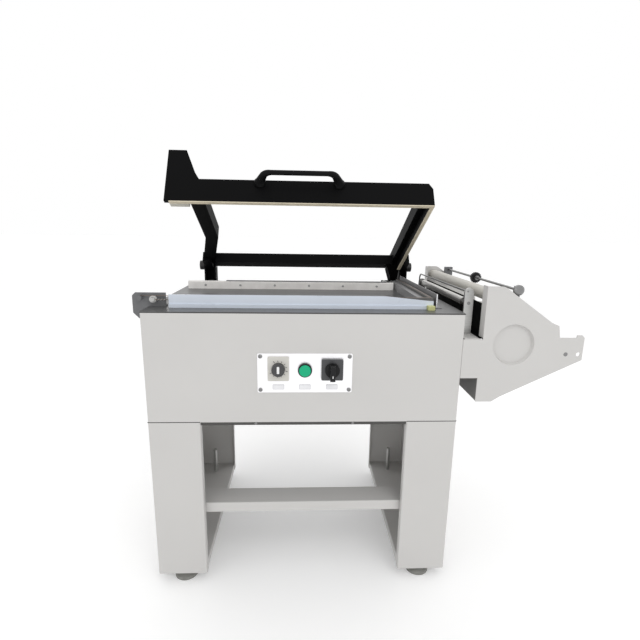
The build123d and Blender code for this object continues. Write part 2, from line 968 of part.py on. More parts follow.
# Hinge posts, a pair of clevises on the deck, closed at the back by a web
web_front = cheek_radius - post_web
web_height = hinge_rise - (eye_radius**2 - web_front**2) ** 0.5 - post_web_gap
hinges = ((left_hinge_x, left_post_half, -1), (right_hinge_x, right_post_half, 1))
with BuildPart() as hinge_posts:
    for x, half, _ in hinges:
        low_x = mid_x + x - half
        high_x = mid_x + x + half
        with BuildSketch(level(table_z)):
            add(span(low_x, high_x, hinge_y - cheek_radius, hinge_y + cheek_radius))
        extrude(amount=post_base)
        with BuildSketch(level(table_z)):
            add(span(low_x, high_x, hinge_y + web_front, hinge_y + cheek_radius))
        extrude(amount=web_height)
        for cheek_x in (low_x, high_x - cheek):
            with BuildSketch(across(cheek_x)):
                add(span(hinge_y - cheek_radius, hinge_y + cheek_radius, table_z, hinge_z))
                with Locations((hinge_y, hinge_z)):
                    Circle(cheek_radius)
                    Circle(pin_radius + run_gap, mode=Mode.SUBTRACT)
            extrude(amount=cheek)

# Hinge pins, with their heads to the outside
with BuildPart() as hinge_pins:
    for x, half, outward in hinges:
        with BuildSketch(across(mid_x + x - outward * half)):
            with Locations((hinge_y, hinge_z)):
                Circle(pin_radius)
        extrude(amount=outward * 2 * half)
        with BuildSketch(across(mid_x + x + outward * half)):
            with Locations((hinge_y, hinge_z)):
                Circle(pin_head)
        extrude(amount=outward * pin_head_height)

# Front bar of the arm, a hollow bar with the jaw foot under its front
bar_front = -arm_reach
with BuildPart() as arm_front_bar:
    with BuildSketch(arm_across(bar_left)):
        add(span(bar_front, bar_front + bar_depth, bar_bottom, bar_top))
        add(span(bar_front, bar_front + pad_width, bar_foot, bar_bottom))
    extrude(amount=bar_right - bar_left)
    with BuildSketch(arm_across(bar_left)):
        add(
            span(
                bar_front + bar_wall,
                bar_front + bar_depth - bar_wall,
                bar_bottom + bar_wall,
                bar_top - bar_wall,
            )
        )
    extrude(amount=bar_right - bar_left - bar_end - bar_chamfer_x, mode=Mode.SUBTRACT)
    with BuildSketch(arm_facing(bar_front + bar_depth)):
        add(
            outline(
                (bar_right - bar_chamfer_x, bar_top),
                (bar_right, bar_top - bar_chamfer_n),
                (bar_right, bar_top),
            )
        )
    extrude(amount=bar_depth, mode=Mode.SUBTRACT)

# Right bar of the arm, with its jaw foot and the lug that reaches round the clevis
right_bar_left = bar_right - bar_depth
right_eye_left = right_hinge_x - right_eye_width / 2
right_eye_end = right_eye_left + right_eye_width
with BuildPart() as arm_right_bar:
    with BuildSketch(arm.offset(bar_bottom)):
        add(span(right_bar_left, bar_right, bar_front + bar_depth, -lug_back))
    extrude(amount=bar_top - bar_bottom)
    with BuildSketch(arm.offset(bar_foot)):
        add(span(bar_right - pad_width, bar_right, bar_front + pad_width, -pad_end))
    extrude(amount=bar_bottom - bar_foot)
    with BuildSketch(arm_across(right_bar_left + bar_wall)):
        add(
            span(
                bar_front + bar_depth,
                -lug_back - bar_end,
                bar_bottom + bar_wall,
                bar_top - bar_wall,
            )
        )
    extrude(amount=bar_depth - 2 * bar_wall, mode=Mode.SUBTRACT)
    with BuildSketch(arm.offset(-eye_radius)):
        add(span(bar_right, right_eye_end, -lug_front, -lug_back))
        add(span(right_eye_left, right_eye_end, -lug_back, 0))
    extrude(amount=2 * eye_radius)
    with BuildSketch(arm_across(right_eye_left)):
        Circle(eye_radius)
    extrude(amount=right_eye_width)
    with BuildSketch(arm_across(right_eye_left)):
        Circle(pin_radius + run_gap)
    extrude(amount=right_eye_width, mode=Mode.SUBTRACT)

# Left bar of the arm, dog-legged out to its eye
left_eye_left = left_hinge_x - left_eye_width / 2
half_bar = left_bar_width / 2
with BuildPart() as arm_left_bar:
    with BuildSketch(arm.offset(bar_bottom)):
        add(
            outline(
                (left_bar_x - half_bar, bar_front + bar_depth),
                (left_bar_x - half_bar, -dog_start),
                (left_hinge_x - left_post_half, -dog_end),
                (left_hinge_x + left_post_half, -dog_end),
                (left_bar_x + half_bar, -dog_start),
                (left_bar_x + half_bar, bar_front + bar_depth),
            )
        )
    extrude(amount=bar_top - bar_bottom)
    with BuildSketch(arm.offset(-eye_radius)):
        add(span(left_eye_left, left_eye_left + left_eye_width, -lug_front, 0))
    extrude(amount=2 * eye_radius)
    with BuildSketch(arm_across(left_eye_left)):
        Circle(eye_radius)
    extrude(amount=left_eye_width)
    with BuildSketch(arm_across(left_eye_left)):
        Circle(pin_radius + run_gap)
    extrude(amount=left_eye_width, mode=Mode.SUBTRACT)


def dog_leg_x(b):
    """Inner face of the dog-legged bar at a distance from the hinge axis."""
    share = (dog_start + b) / (dog_start - dog_end)
    straight = left_bar_x + half_bar
    return straight + (left_hinge_x + left_post_half - straight) * share


# Crossbar, a square tube between both bars, with the tapered spring lever under its right end
half_cross = crossbar_size / 2
cross_back = crossbar_size - crossbar_front
with BuildPart() as arm_crossbar:
    with BuildSketch(arm.offset(-half_cross)):
        add(
            outline(
                (dog_leg_x(-crossbar_front), -crossbar_front),
                (dog_leg_x(cross_back), cross_back),
                (right_bar_left, cross_back),
                (right_bar_left, -crossbar_front),
            )
        )
    extrude(amount=crossbar_size)
    with BuildSketch(arm_across(left_hinge_x)):
        add(
            span(
                bar_wall - crossbar_front,
                cross_back - bar_wall,
                bar_wall - half_cross,
                half_cross - bar_wall,
            )
        )
    extrude(amount=right_bar_left - left_hinge_x, mode=Mode.SUBTRACT)
    with BuildSketch(arm_across(bar_right - lever_top_in)):
        add(span(cross_back - lever_base, cross_back, -half_cross - sheet, -half_cross))
        with Locations((peg_y, peg_n)):
            Circle(lever_radius)
        make_hull()
    extrude(amount=lever_top_in)
    with BuildSketch(arm_across(right_bar_left)):
        add(span(cross_back - lever_base, cross_back, -half_cross, bar_bottom))
    extrude(amount=bar_depth)
    with BuildSketch(arm_facing(peg_y + lever_radius)):
        add(
            outline(
                (bar_right - lever_top_in, -half_cross - sheet),
                (bar_right - lever_low_in, peg_n - lever_radius),
                (bar_right - lever_top_in, peg_n - lever_radius),
            )
        )
    extrude(amount=peg_y + lever_radius + crossbar_front, mode=Mode.SUBTRACT)
    with BuildSketch(arm_across(spring_x - peg_half)):
        with Locations((peg_y, peg_n)):
            Circle(peg_radius)
    extrude(amount=bar_right - lever_low_in - spring_x + peg_half)

# Magnet housing on the left end of the front bar
with BuildPart() as magnet_housing:
    with BuildSketch(arm_facing(bar_front + tower_depth)):
        add(
            outline(
                (jaw_left + tower_left_in, bar_foot),
                (jaw_left + tower_shoulder_in, bar_foot),
                (jaw_left + tower_base_in, bar_top),
                (jaw_left + tower_shoulder_in, tower_shoulder),
                (jaw_left + tower_top_right_in, tower_top),
                (jaw_left + tower_top_left_in, tower_top),
            )
        )
    extrude(amount=tower_depth)
    with BuildSketch(arm_facing(bar_front + bar_depth)):
        add(span(bar_left, bar_right, bar_foot, bar_top))
    extrude(amount=bar_depth, mode=Mode.SUBTRACT)
    with BuildSketch(arm_facing(bar_front + tower_depth)):
        tower_left = jaw_left + min(tower_left_in, tower_top_left_in)
        add(span(tower_left, jaw_left + tower_base_in, bar_foot, bar_bottom))
    extrude(amount=tower_depth - pad_width, mode=Mode.SUBTRACT)
    with BuildSketch(arm.offset(bar_bottom)):
        add(
            span(
                left_bar_x - half_bar - side_gap,
                left_bar_x + half_bar + side_gap,
                bar_front + bar_depth,
                bar_front + tower_depth,
            )
        )
    extrude(amount=bar_top - bar_bottom, mode=Mode.SUBTRACT)

# Armature plate behind the jaw foot, level with the seal pads
armature_front = bar_front + pad_width
with BuildPart() as armature_plate:
    with BuildSketch(arm.offset(pad_bottom)):
        add(span(jaw_left, magnet_right, armature_front, armature_front + magnet_depth))
    extrude(amount=armature_height)

# Seal pads, an L under the front and the right bar
with BuildPart() as seal_pads:
    with BuildSketch(arm.offset(pad_bottom)):
        add(span(jaw_left, bar_right, bar_front, bar_front + pad_width))
        add(span(bar_right - pad_width, bar_right, bar_front, -pad_end))
    extrude(amount=seal_pad_height)

# Handle, a round bow on the front of the bar
with BuildPart() as arm_handle:
    with BuildLine(arm.offset(handle_up)):
        bow = FilletPolyline(
            (handle_center - handle_base, bar_front),
            (handle_center - handle_span, bar_front - handle_out),
            (handle_center + handle_span, bar_front - handle_out),
            (handle_center + handle_base, bar_front),
            radius=handle_bend,
        )
    with BuildSketch(Plane(origin=bow @ 0, z_dir=bow % 0)):
        Circle(handle_radius)
    sweep(path=bow)
    with BuildSketch(arm_facing(bar_front)):
        with Locations((handle_center - handle_base, handle_up), (handle_center + handle_base, handle_up)):
            Circle(handle_foot_radius)
    extrude(amount=handle_foot_height)
    with BuildSketch(arm_facing(bar_front)):
        add(span(bar_left, bar_right, bar_foot, bar_top + bar_depth))
    extrude(amount=-bar_depth, mode=Mode.SUBTRACT)


def side_plate_outline():
    """Outline of an unwinder plate, seen from the front."""
    with BuildSketch(Plane.XY) as face:
        with BuildLine():
            Polyline(
                (right_x, table_z + tab_low),
                (right_x + tray_wall_x, table_z + tab_low),
                (right_x + tray_wall_x, table_z + heel_z),
                (right_x + heel_x, table_z + heel_z),
                (right_x + belly_x, table_z + belly_z),
                (right_x + unwinder_reach, table_z + nose_low),
                (right_x + unwinder_reach, table_z + ledge_z),
                (right_x + unwinder_reach - hook_rise, table_z + ledge_z + hook_rise),
                (right_x + hook_x, table_z + ledge_z + hook_rise),
                (right_x + hook_x, table_z + ledge_z),
                (right_x + ledge_x, table_z + ledge_z),
                (right_x + step_x, table_z + step_z),
                (right_x + slope_end_x, table_z + slope_end_z),
                (right_x + crown_right, table_z + crown_z),
                (right_x + neck_x, table_z + crown_z),
                (right_x + neck_x, table_z + tab_top),
                (right_x, table_z + tab_top),
                close=True,
            )
        make_face()
        corner = face.vertices().sort_by_distance((right_x + crown_right, table_z + crown_z))[0]
        fillet(corner, radius=crown_round)
        with Locations(
            (right_x + axle_hole_x, table_z + axle_hole_z),
            (right_x + axle_hole_x + axle_hole_pitch, table_z + axle_hole_z),
        ):
            Circle(axle_hole_radius, mode=Mode.SUBTRACT)
    return face.sketch


# Front plate of the unwinder, with its flanges and its pressed recess
recess_place = (right_x + recess_x, table_z + recess_z)
unwinder_mid = facing((unwinder_front + unwinder_rear) / 2)
with BuildPart() as unwinder_front_plate:
    with BuildSketch(facing(inner_front)):
        add(side_plate_outline())
    extrude(amount=sheet)
    with BuildSketch(level(table_z + tab_low)):
        add(span(right_x, right_x + sheet, inner_front, inner_front + tab_flange))
    extrude(amount=tab_top - tab_low)
    with BuildSketch(level(table_z + tab_top)):
        add(span(right_x + neck_x, right_x + neck_x + sheet, inner_front, inner_front + neck_flange))
    extrude(amount=crown_z - tab_top)
    with BuildSketch(across(right_x)):
        with Locations(*bolt_places[:2]):
            Circle(bolt_radius + bolt_gap)
    extrude(amount=sheet, mode=Mode.SUBTRACT)
    for rim_y, skin, how in ((inner_front, sheet, Mode.ADD), (unwinder_front, 0, Mode.SUBTRACT)):
        with BuildSketch(facing(rim_y)):
            with Locations(recess_place):
                Circle(recess_radius + skin)
        with BuildSketch(facing(rim_y + recess_depth)):
            with Locations(recess_place):
                Circle(recess_floor + skin)
        loft(mode=how)

# Rear plate of the unwinder
with BuildPart() as unwinder_rear_plate:
    mirror(unwinder_front_plate.part, about=unwinder_mid)

# Tray between the plates: ledge, back wall and floor in one bent sheet
with BuildPart() as unwinder_tray:
    with BuildSketch(facing(inner_rear)):
        add(
            bent(
                (right_x + sheet + tray_gap, table_z + tab_top),
                (right_x + tray_wall_x, table_z + tab_top),
                (right_x + tray_wall_x, table_z + heel_z),
                (right_x + heel_x, table_z + heel_z),
                (right_x + belly_x, table_z + belly_z),
                side=Side.LEFT,
            )
        )
    extrude(amount=inner_rear - inner_front)

# Inner panel that closes the bay behind the necks of the plates
with BuildPart() as unwinder_panel:
    with BuildSketch(level(table_z + tab_top + sheet)):
        add(span(right_x + neck_x + sheet, right_x + neck_x + 2 * sheet, inner_front, inner_rear))
    extrude(amount=panel_top - tab_top - sheet)

# Bolts that hold the unwinder to the cabinet
with BuildPart() as unwinder_bolts:
    with BuildSketch(across(right_x + sheet)):
        with Locations(*bolt_places):
            RegularPolygon(bolt_head, 6)
    extrude(amount=bolt_head_height)
    with BuildSketch(across(right_x + sheet)):
        with Locations(*bolt_places):
            Circle(bolt_radius)
    extrude(amount=-2 * sheet - bolt_tail)

# Posts of the transfer roller, bent flat bars with round tops
post_z = table_z + tab_top + sheet
transfer_place = (right_x + transfer_x, table_z + transfer_z)
guide_place = (right_x + guide_front_x, table_z + guide_z)


def film_post(top_z):
    """Post at the front of the unwinder, with its round top at a height."""
    low_x = transfer_place[0] - post_width / 2
    high_x = transfer_place[0] + post_width / 2
    with BuildPart() as post:
        with BuildSketch(facing(front_y + post_front + post_gauge)):
            add(span(low_x, high_x, post_z, top_z - post_width / 2))
            with Locations((transfer_place[0], top_z - post_width / 2)):
                Circle(post_width / 2)
            with Locations(transfer_place):
                Circle(transfer_axle + run_gap, mode=Mode.SUBTRACT)
            with Locations(guide_place):
                Circle(guide_radius + bolt_gap, mode=Mode.SUBTRACT)
        extrude(amount=post_gauge)
        with BuildSketch(level(post_z)):
            add(span(low_x, high_x, front_y + post_front + post_gauge, front_y + post_front + post_foot))
        extrude(amount=post_gauge)
    return post


with BuildPart() as film_posts:
    add(film_post(table_z + post_top).part)
    mirror(film_post(transfer_place[1] + post_width / 2).part, about=unwinder_mid)

# Guide wire of the film, from the front post to the ledge at the rear
guide_end = (right_x + guide_rear_x, back_y - guide_rear)
with BuildPart() as guide_wire:
    with BuildLine():
        guide = FilletPolyline(
            (guide_place[0], front_y + post_front, guide_place[1]),
            (*guide_end, guide_place[1]),
            (*guide_end, post_z),
            radius=guide_bend,
        )
    with BuildSketch(Plane(origin=guide @ 0, z_dir=guide % 0)):
        Circle(guide_radius)
    sweep(path=guide)

# Fixed axles of the rollers
upper_place = (right_x + upper_x, table_z + upper_z)
front_support_place = (right_x + axle_hole_x, table_z + axle_hole_z)
rear_support_place = (right_x + rear_support_x, table_z + rear_support_z)
post_rear = unwinder_front + unwinder_rear - front_y - post_front
with BuildPart() as roller_axles:
    with BuildSketch(facing(inner_rear)):
        with Locations(upper_place, rear_support_place):
            Circle(axle_radius)
    extrude(amount=inner_rear - inner_front)
    with BuildSketch(facing(unwinder_rear)):
        with Locations(front_support_place):
            Circle(axle_radius)
    extrude(amount=unwinder_rear - unwinder_front)
    with BuildSketch(facing(post_rear)):
        with Locations(transfer_place):
            Circle(transfer_axle)
    extrude(amount=post_rear - front_y - post_front)


def roller(place, radius, bore, low_y, high_y):
    """Tube along the depth of the machine that runs on an axle."""
    with BuildPart() as tube:
        with BuildSketch(facing(high_y)):
            with Locations(place):
                Circle(radius)
                Circle(bore + run_gap, mode=Mode.SUBTRACT)
        extrude(amount=high_y - low_y)
    return tube


# Rollers
roller_low = inner_front + roller_gap
roller_high = inner_rear - roller_gap
upper_roller = roller(upper_place, upper_radius, axle_radius, roller_low, roller_high)
front_support_roller = roller(front_support_place, support_radius, axle_radius, roller_low, roller_high)
rear_support_roller = roller(rear_support_place, support_radius, axle_radius, roller_low, roller_high)
transfer_roller = roller(
    transfer_place,
    transfer_radius,
    transfer_axle,
    front_y + post_front + post_foot + roller_gap,
    post_rear - post_foot - roller_gap,
)

# Clamps of the perforator rod, a stepped lug on the inside of each plate
rod_place = (right_x + rod_x, table_z + rod_z)


def rod_clamp(width):
    """Stepped lug on the front plate, bored for the rod."""
    with BuildPart() as clamp:
        with BuildSketch(across(rod_place[0] - width / 2)):
            add(
                outline(
                    (inner_front, table_z + lug_low),
                    (inner_front + lug_out + lug_gauge, table_z + lug_low),
                    (inner_front + lug_out + lug_gauge, table_z + lug_top),
                    (inner_front + lug_out, table_z + lug_top),
                    (inner_front + lug_out, table_z + lug_step),
                    (inner_front, table_z + lug_step),
                )
            )
        extrude(amount=width)
        with BuildSketch(facing(inner_front + lug_out + lug_gauge)):
            with Locations(rod_place):
                Circle(rod_radius + run_gap)
        extrude(amount=lug_gauge, mode=Mode.SUBTRACT)
    return clamp


with BuildPart() as rod_clamps:
    add(rod_clamp(lug_width).part)
    mirror(rod_clamp(rear_lug_width).part, about=unwinder_mid)

# Perforator rod with its knob and the two collars of the wheel
knob_back = front_y + rod_knob_length
wheel_center = front_y + wheel_y
collar_offset = wheel_width / 2 + side_gap
with BuildPart() as perforator_rod:
    with BuildSketch(facing(inner_rear - lug_out)):
        with Locations(rod_place):
            Circle(rod_radius)
    extrude(amount=inner_rear - lug_out - knob_back)
    with BuildSketch(facing(knob_back)):
        with Locations(rod_place):
            Circle(rod_knob_radius)
    extrude(amount=rod_knob_length)
    chamfer(perforator_rod.faces().sort_by(Axis.Y)[0].edges(), length=rod_knob_edge)
    for collar_y in (wheel_center - collar_offset, wheel_center + collar_offset + rod_collar_width):
        with BuildSketch(facing(collar_y)):
            with Locations(rod_place):
                Circle(rod_collar_radius)
        extrude(amount=rod_collar_width)

# Perforating wheel with its spikes
spike_turn = 2 * pi / wheel_teeth
spikes = [
    (rod_place[0] + radius * cos(turn), rod_place[1] + radius * sin(turn))
    for tooth in range(wheel_teeth)
    for radius, turn in ((wheel_radius, tooth * spike_turn), (wheel_root, (tooth + 0.5) * spike_turn))
]
with BuildPart() as perforating_wheel:
    with BuildSketch(facing(wheel_center + wheel_width / 2)):
        add(outline(*spikes))
        with Locations(rod_place):
            Circle(rod_radius + run_gap, mode=Mode.SUBTRACT)
    extrude(amount=wheel_width)

# One file for each piece
pieces = {
    "left_leg": left_leg,
    "right_leg": right_leg,
    "base_trays": base_trays,
    "foot_pads": foot_pads,
    "foot_studs": foot_studs,
    "stretcher_shelf": stretcher_shelf,
    "cabinet_shell": cabinet_shell,
    "rear_panel": rear_panel,
    "bottom_pan": bottom_pan,
    "top_deck": top_deck,
    "transformer": transformer,
    "contactor": contactor,
    "cable_gland": cable_gland,
    "control_plate": control_plate,
    "timer_housing": timer_housing,
    "timer_knob": timer_knob,
    "button_collar": button_collar,
    "start_button": start_button,
    "switch_body": switch_body,
    "switch_handle": switch_handle,
    "front_apron": front_apron,
    "front_jaw": front_jaw,
    "side_jaw": side_jaw,
    "jaw_strips": jaw_strips,
    "seal_wire": seal_wire,
    "wire_insulator": wire_insulator,
    "tension_bracket": tension_bracket,
    "pulley_pins": pulley_pins,
    "tension_pulley": tension_pulley,
    "wire_terminal": wire_terminal,
    "electromagnet": electromagnet,
    "side_wall": side_wall,
    "rear_rail": rear_rail,
    "spring_clip": spring_clip,
    "return_spring": return_spring,
    "hinge_posts": hinge_posts,
    "hinge_pins": hinge_pins,
    "arm_front_bar": arm_front_bar,
    "arm_right_bar": arm_right_bar,
    "arm_left_bar": arm_left_bar,
    "arm_crossbar": arm_crossbar,
    "magnet_housing": magnet_housing,
    "armature_plate": armature_plate,
    "seal_pads": seal_pads,
    "arm_handle": arm_handle,
    "unwinder_front_plate": unwinder_front_plate,
    "unwinder_rear_plate": unwinder_rear_plate,
    "unwinder_tray": unwinder_tray,
    "unwinder_panel": unwinder_panel,
    "unwinder_bolts": unwinder_bolts,
    "film_posts": film_posts,
    "guide_wire": guide_wire,
    "roller_axles": roller_axles,
    "upper_roller": upper_roller,
    "transfer_roller": transfer_roller,
    "front_support_roller": front_support_roller,
    "rear_support_roller": rear_support_roller,
    "rod_clamps": rod_clamps,
    "perforator_rod": perforator_rod,
    "perforating_wheel": perforating_wheel,
}
os.makedirs("parts", exist_ok=True)
for name, piece in pieces.items():
    piece.part.label = name
    export_step(piece.part, f"parts/{name}.step")
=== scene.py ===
import json
from math import cos, pi, radians, sin

import bpy
from mathutils import Matrix, Vector


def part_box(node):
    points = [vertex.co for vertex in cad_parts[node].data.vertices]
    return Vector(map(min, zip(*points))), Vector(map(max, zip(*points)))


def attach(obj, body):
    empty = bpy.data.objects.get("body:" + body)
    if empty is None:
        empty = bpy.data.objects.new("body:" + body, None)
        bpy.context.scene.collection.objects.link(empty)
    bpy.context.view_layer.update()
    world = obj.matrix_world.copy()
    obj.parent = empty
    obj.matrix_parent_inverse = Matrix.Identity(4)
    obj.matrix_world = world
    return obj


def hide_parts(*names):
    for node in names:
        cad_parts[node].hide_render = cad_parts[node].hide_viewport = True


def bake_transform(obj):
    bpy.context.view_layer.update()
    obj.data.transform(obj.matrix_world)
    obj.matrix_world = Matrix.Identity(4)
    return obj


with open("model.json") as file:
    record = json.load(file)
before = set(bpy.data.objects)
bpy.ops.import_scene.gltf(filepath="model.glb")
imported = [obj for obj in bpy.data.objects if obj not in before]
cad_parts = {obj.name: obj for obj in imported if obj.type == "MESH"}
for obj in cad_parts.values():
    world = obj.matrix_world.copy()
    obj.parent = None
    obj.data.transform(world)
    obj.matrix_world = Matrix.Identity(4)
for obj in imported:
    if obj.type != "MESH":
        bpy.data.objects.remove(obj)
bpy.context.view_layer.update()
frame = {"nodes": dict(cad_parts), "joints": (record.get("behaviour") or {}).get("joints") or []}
scene = bpy.context.scene
scene.view_settings.view_transform = "Standard"

# What all materials have in common
tint_stops = (0.3, 0.7)
tint_detail = 4.0
grain_detail = 2.0
grain_depth = 0.0005
# Normal's X over which the painted shade on faces that look along -X comes in
shade_from_x, shade_to_x = -0.6, -0.3


def shade_side_tone(tree, tone, share):
    """Tone with painted shade: it keeps only a share of itself on faces that look to the left, along -X.
    """
    geometry = tree.nodes.new("ShaderNodeNewGeometry")
    normal = tree.nodes.new("ShaderNodeSeparateXYZ")
    tree.links.new(geometry.outputs["True Normal"], normal.inputs["Vector"])
    shade_factor = tree.nodes.new("ShaderNodeMapRange")
    shade_factor.inputs["From Min"].default_value = shade_from_x
    shade_factor.inputs["From Max"].default_value = shade_to_x
    shade_factor.inputs["To Min"].default_value = share
    tree.links.new(normal.outputs["X"], shade_factor.inputs["Value"])
    scaled = tree.nodes.new("ShaderNodeVectorMath")
    scaled.operation = "SCALE"
    tree.links.new(tone, scaled.inputs["Vector"])
    tree.links.new(shade_factor.outputs["Result"], scaled.inputs["Scale"])
    return scaled.outputs["Vector"]


def surface(
    name, color, rough=0.5, metal=0.0, shine=0.5, coat=0.0, grain=0.06, grain_scale=900.0,
    tint=0.04, tint_scale=14.0, spread=0.08, stretch=(1.0, 1.0, 1.0), side_shade_share=1.0,
):
    """Material with fine relief and a slow change of tint and of gloss."""
    made = bpy.data.materials.new(name)
    made.use_nodes = True
    nodes = made.node_tree.nodes
    links = made.node_tree.links
    shader = nodes["Principled BSDF"]
    shader.inputs["Metallic"].default_value = metal
    shader.inputs["Specular IOR Level"].default_value = shine
    shader.inputs["Coat Weight"].default_value = coat
    place = nodes.new("ShaderNodeTexCoord")
    mapping = nodes.new("ShaderNodeMapping")
    mapping.inputs["Scale"].default_value = stretch
    links.new(place.outputs["Object"], mapping.inputs["Vector"])

    def noise(scale, detail):
        field = nodes.new("ShaderNodeTexNoise")
        field.inputs["Scale"].default_value = scale
        field.inputs["Detail"].default_value = detail
        links.new(mapping.outputs["Vector"], field.inputs["Vector"])
        return field.outputs["Fac"]

    slow = noise(tint_scale, tint_detail)
    shades = nodes.new("ShaderNodeValToRGB")
    for stop, position, share in zip(shades.color_ramp.elements, tint_stops, (1 - tint, 1 + tint)):
        stop.position = position
        stop.color = (*(min(channel * share, 1.0) for channel in color), 1.0)
    links.new(slow, shades.inputs["Fac"])
    tone = shades.outputs["Color"]
    # Painted shade: faces that look along -X keep only the given share of the colour
    if side_shade_share < 1.0:
        tone = shade_side_tone(made.node_tree, tone, side_shade_share)
    links.new(tone, shader.inputs["Base Color"])
    gloss = nodes.new("ShaderNodeMapRange")
    gloss.inputs["To Min"].default_value = rough - spread
    gloss.inputs["To Max"].default_value = rough + spread
    links.new(slow, gloss.inputs["Value"])
    links.new(gloss.outputs["Result"], shader.inputs["Roughness"])
    bump = nodes.new("ShaderNodeBump")
    bump.inputs["Strength"].default_value = grain
    bump.inputs["Distance"].default_value = grain_depth
    links.new(noise(grain_scale, grain_detail), bump.inputs["Height"])
    links.new(bump.outputs["Normal"], shader.inputs["Normal"])
    return made


def brushed(name, color, rough, stretch, metal=1.0, tint=0.05):
    """Metal with fine lines across the stretched direction."""
    return surface(
        name, color, rough, metal, grain=0.03, tint=tint, tint_scale=30.0, spread=0.1, stretch=stretch
    )


def moulded(name, color, rough=0.4, shine=0.5):
    """Moulded plastic with a fine matt texture."""
    return surface(
        name, color, rough, shine=shine, grain=0.1, grain_scale=1800.0, tint=0.03, tint_scale=60.0
    )


# Painted sheet
grey = (0.615, 0.605, 0.59)
grey_paint = surface("grey_paint", grey, 0.42, grain=0.1, tint=0.015, tint_scale=5.0)
deck_paint = surface(
    "deck_paint", (0.095, 0.095, 0.097), 0.32, tint=0.08, tint_scale=26.0, stretch=(0.4, 1.0, 1.0)
)
wall_paint = surface("wall_paint", (0.26, 0.258, 0.262), 0.45, grain=0.08)
# Bottom pan painted dark: painted shade under the cabinet's front edge
pan_shade_paint = surface("pan_shade_paint", (0.065, 0.063, 0.06), 0.5)
# Tray's grey, with painted shade on its faces that look along -X, towards the cabinet
tray_paint = surface("tray_paint", grey, 0.42, grain=0.1, tint=0.015, side_shade_share=0.24)
bracket_paint = surface("bracket_paint", (0.145, 0.147, 0.153), 0.45, grain=0.08)
black_paint = surface("black_paint", (0.003, 0.003, 0.0033), 0.55, shine=0.06, grain=0.12, tint=0.1)
apron_coat = surface("apron_coat", (0.69, 0.745, 0.83), 0.3, coat=0.2, grain=0.02, tint=0.02)
seam_shade = surface("seam_shade", (0.04, 0.04, 0.04), 0.7)

# Plastics, rubber and board
black_plastic = moulded("black_plastic", (0.009, 0.009, 0.01), 0.45, 0.25)
handle_plastic = moulded("handle_plastic", (0.004, 0.004, 0.0043), 0.5, 0.1)
dark_plate = moulded("dark_plate", (0.06, 0.061, 0.065), 0.38)
knob_plastic = moulded("knob_plastic", (0.05, 0.05, 0.052), 0.35)
timer_plastic = moulded("timer_plastic", (0.635, 0.62, 0.575), 0.45)
label_plate = moulded("label_plate", (0.84, 0.84, 0.86))
label_edge = moulded("label_edge", (0.45, 0.45, 0.48))
white_mark = moulded("white_mark", (0.86, 0.86, 0.86))
green_plastic = moulded("green_plastic", (0.006, 0.43, 0.21), 0.35, 0.3)
nylon = moulded("nylon", (0.82, 0.82, 0.8))
laminate = surface(
    "laminate", (0.6, 0.61, 0.28), 0.5, tint=0.12, tint_scale=400.0, stretch=(1.0, 1.0, 6.0)
)
rubber = surface(
    "rubber", (0.23, 0.23, 0.212), 0.55, grain=0.2, grain_scale=600.0, tint=0.1, tint_scale=90.0
)
silicone = surface("silicone", (0.66, 0.59, 0.45), 0.55, tint=0.06, tint_scale=60.0)
heat_strip = surface("heat_strip", (0.11, 0.108, 0.105), 0.6, tint=0.12, tint_scale=80.0)
sleeve = surface("sleeve", (0.55, 0.53, 0.48), 0.4, grain=0.08, tint=0.03)

# Metals
roller_steel = surface("roller_steel", (0.56, 0.55, 0.53), 0.3, 1.0, grain=0.02, tint=0.03, spread=0.04)
zinc = brushed("zinc", (0.5, 0.5, 0.49), 0.35, (1, 1, 30), tint=0.1)
keeper_metal = brushed("keeper_metal", (0.6, 0.58, 0.51), 0.42, (20, 1, 1), metal=0.3)
wire_steel = brushed("wire_steel", (0.22, 0.17, 0.14), 0.4, (40, 1, 1))
dark_steel = brushed("dark_steel", (0.26, 0.26, 0.26), 0.3, (30, 1, 30))
pin_steel = brushed("pin_steel", (0.035, 0.034, 0.034), 0.45, (30, 1, 1), metal=0.4)
bright_edge = brushed("bright_edge", (0.85, 0.85, 0.87), 0.28, (1, 1, 8), tint=0.03)
plate_metal = brushed("plate_metal", (0.955, 0.95, 0.965), 0.34, (1, 1, 60), tint=0.02)
rail_metal = brushed("rail_metal", (0.95, 0.92, 0.89), 0.4, (1.5, 1, 1), metal=0.0, tint=0.06)

# Nodes of the model that take each material
looks = {
    grey_paint: (
        "left_leg right_leg base_trays stretcher_shelf cabinet_shell rear_panel "
        "unwinder_front_plate unwinder_rear_plate"
    ),
    tray_paint: "unwinder_tray",
    deck_paint: "top_deck",
    wall_paint: "side_wall side_jaw",
    pan_shade_paint: "bottom_pan",
    bracket_paint: "tension_bracket wire_terminal rod_clamps",
    # Black of the arm and hinge posts; on the unwinder's panel the black is painted shade inside the
    # unwinder
    black_paint: (
        "hinge_posts arm_front_bar arm_right_bar arm_left_bar arm_crossbar magnet_housing unwinder_panel"
    ),
    black_plastic: "contactor cable_gland button_collar switch_handle perforating_wheel",
    dark_plate: "switch_body",
    knob_plastic: "timer_knob",
    timer_plastic: "timer_housing",
    green_plastic: "start_button",
    laminate: "wire_insulator",
    nylon: "tension_pulley",
    rubber: "foot_pads",
    silicone: "seal_pads",
    heat_strip: "jaw_strips",
    keeper_metal: "armature_plate",
    sleeve: "upper_roller front_support_roller rear_support_roller",
    roller_steel: "transfer_roller",
    apron_coat: "front_apron",
    zinc: (
        "foot_studs transformer electromagnet unwinder_bolts film_posts spring_clip "
        "pulley_pins front_jaw"
    ),
    wire_steel: "seal_wire",
    dark_steel: "perforator_rod guide_wire roller_axles",
    pin_steel: "hinge_pins",
    plate_metal: "control_plate",
    rail_metal: "rear_rail",
}
